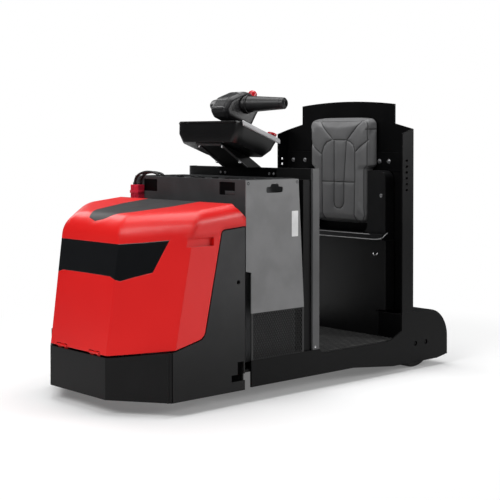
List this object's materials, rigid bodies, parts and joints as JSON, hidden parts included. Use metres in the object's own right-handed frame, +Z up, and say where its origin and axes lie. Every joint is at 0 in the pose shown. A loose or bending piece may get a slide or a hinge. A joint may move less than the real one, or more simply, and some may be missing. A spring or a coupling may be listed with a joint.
{
  "type": "airport baggage tug",
  "caption": "Electric stand-on baggage tug with a tilting red hood, side battery, rear operator platform and padded backrest.",
  "frame": {"origin": "on the floor under the middle of the machine's length and width", "axes": "+Z up, the nose faces -Y, the driver's left is +X"},
  "size_m": [0.8, 1.75, 1.2365],
  "materials": {
    "hood_red": "satin moulded shell",
    "skirt_black": "satin",
    "plate_grey": "satin",
    "panel_grey": "satin",
    "frame_black": "fine texture",
    "window_black": "gloss",
    "roof_black": "grained",
    "grille_black": "matt",
    "tyre_black": "solid tyre",
    "hub_grey": "satin",
    "bare_steel": "machined",
    "battery_grey": "satin",
    "plug_red": "moulded",
    "lead_black": "insulated cable",
    "console_black": "grained",
    "console_rim": "satin",
    "handle_black": "fine grain",
    "control_red": "gloss",
    "cushion_black": "coated fabric",
    "shell_black": "grained",
    "mat_black": "ribbed",
    "motor_black": "cast"
  },
  "bodies": {
    "chassis": {"apron_front": "skirt_black", "side_plate_left": "plate_grey", "side_plate_right": "plate_grey", "sill_left": "frame_black", "sill_right": "frame_black", "side_posts": "frame_black", "chassis_floor": "frame_black", "drive_deck": "frame_black", "rear_axle": "frame_black", "rear_frame": "frame_black", "rear_cover": "frame_black", "tow_coupling": "frame_black", "dash_wall": "frame_black", "platform_mat": "mat_black", "battery": "battery_grey", "battery_plug": "plug_red", "plug_leads": "lead_black", "backrest_plate": "frame_black", "cushion_strap": "frame_black", "backrest_cushion": "cushion_black", "hip_shell": "shell_black", "rear_box": "shell_black", "hood_hinges": "bare_steel", "console_bracket": "frame_black", "console_body": "console_black", "console_top": "console_rim", "stop_button": "control_red", "steering_neck": "plate_grey"},
    "drive_unit": {"drive_yoke": "motor_black", "drive_motor": "motor_black"},
    "drive_wheel": {"drive_hub": "hub_grey", "drive_tyre": "tyre_black"},
    "rear_wheel_left": {"rear_hub_left": "hub_grey", "rear_tyre_left": "tyre_black"},
    "rear_wheel_right": {"rear_hub_right": "hub_grey", "rear_tyre_right": "tyre_black"},
    "handle": {"handle_pod": "handle_black", "handle_grips": "handle_black", "thumb_dome": "control_red"},
    "hood": {"hood_shell": "hood_red", "hood_window": "window_black", "hood_roof_panel": "roof_black"},
    "panel_left": {"battery_panel_left": "panel_grey", "vent_grille_left": "grille_black"},
    "panel_right": {"battery_panel_right": "panel_grey", "vent_grille_right": "grille_black"},
    "tow_pin": {"tow_pin": "bare_steel"}
  },
  "joints": [
    {"name": "drive_steer", "type": "hinge", "parent": "chassis", "child": "drive_unit", "pos_m": [0, -0.53, 0.3], "axis": [0, 0, 1], "range_deg": [-90, 90]},
    {"name": "drive_spin", "type": "hinge", "parent": "drive_unit", "child": "drive_wheel", "pos_m": [0, -0.53, 0.127], "axis": [1, 0, 0], "continuous": true},
    {"name": "rear_left_spin", "type": "hinge", "parent": "chassis", "child": "rear_wheel_left", "pos_m": [0.32, 0.7, 0.125], "axis": [1, 0, 0], "continuous": true},
    {"name": "rear_right_spin", "type": "hinge", "parent": "chassis", "child": "rear_wheel_right", "pos_m": [-0.32, 0.7, 0.125], "axis": [1, 0, 0], "continuous": true},
    {"name": "handle_turn", "type": "hinge", "parent": "chassis", "child": "handle", "pos_m": [0, -0.08139, 1.05051], "axis": [0, 0.3498, 0.9368], "range_deg": [-60, 60]},
    {"name": "hood_tilt", "type": "hinge", "parent": "chassis", "child": "hood", "pos_m": [0, -0.868, 0.222], "axis": [1, 0, 0], "range_deg": [0, 60]},
    {"name": "panel_left_off", "type": "slide", "parent": "chassis", "child": "panel_left", "axis": [1, 0, 0], "range_m": [0, 0.3]},
    {"name": "panel_right_off", "type": "slide", "parent": "chassis", "child": "panel_right", "axis": [-1, 0, 0], "range_m": [0, 0.3]},
    {"name": "tow_pin_lift", "type": "slide", "parent": "chassis", "child": "tow_pin", "axis": [0, 0, 1], "range_m": [0, 0.1]}
  ]
}
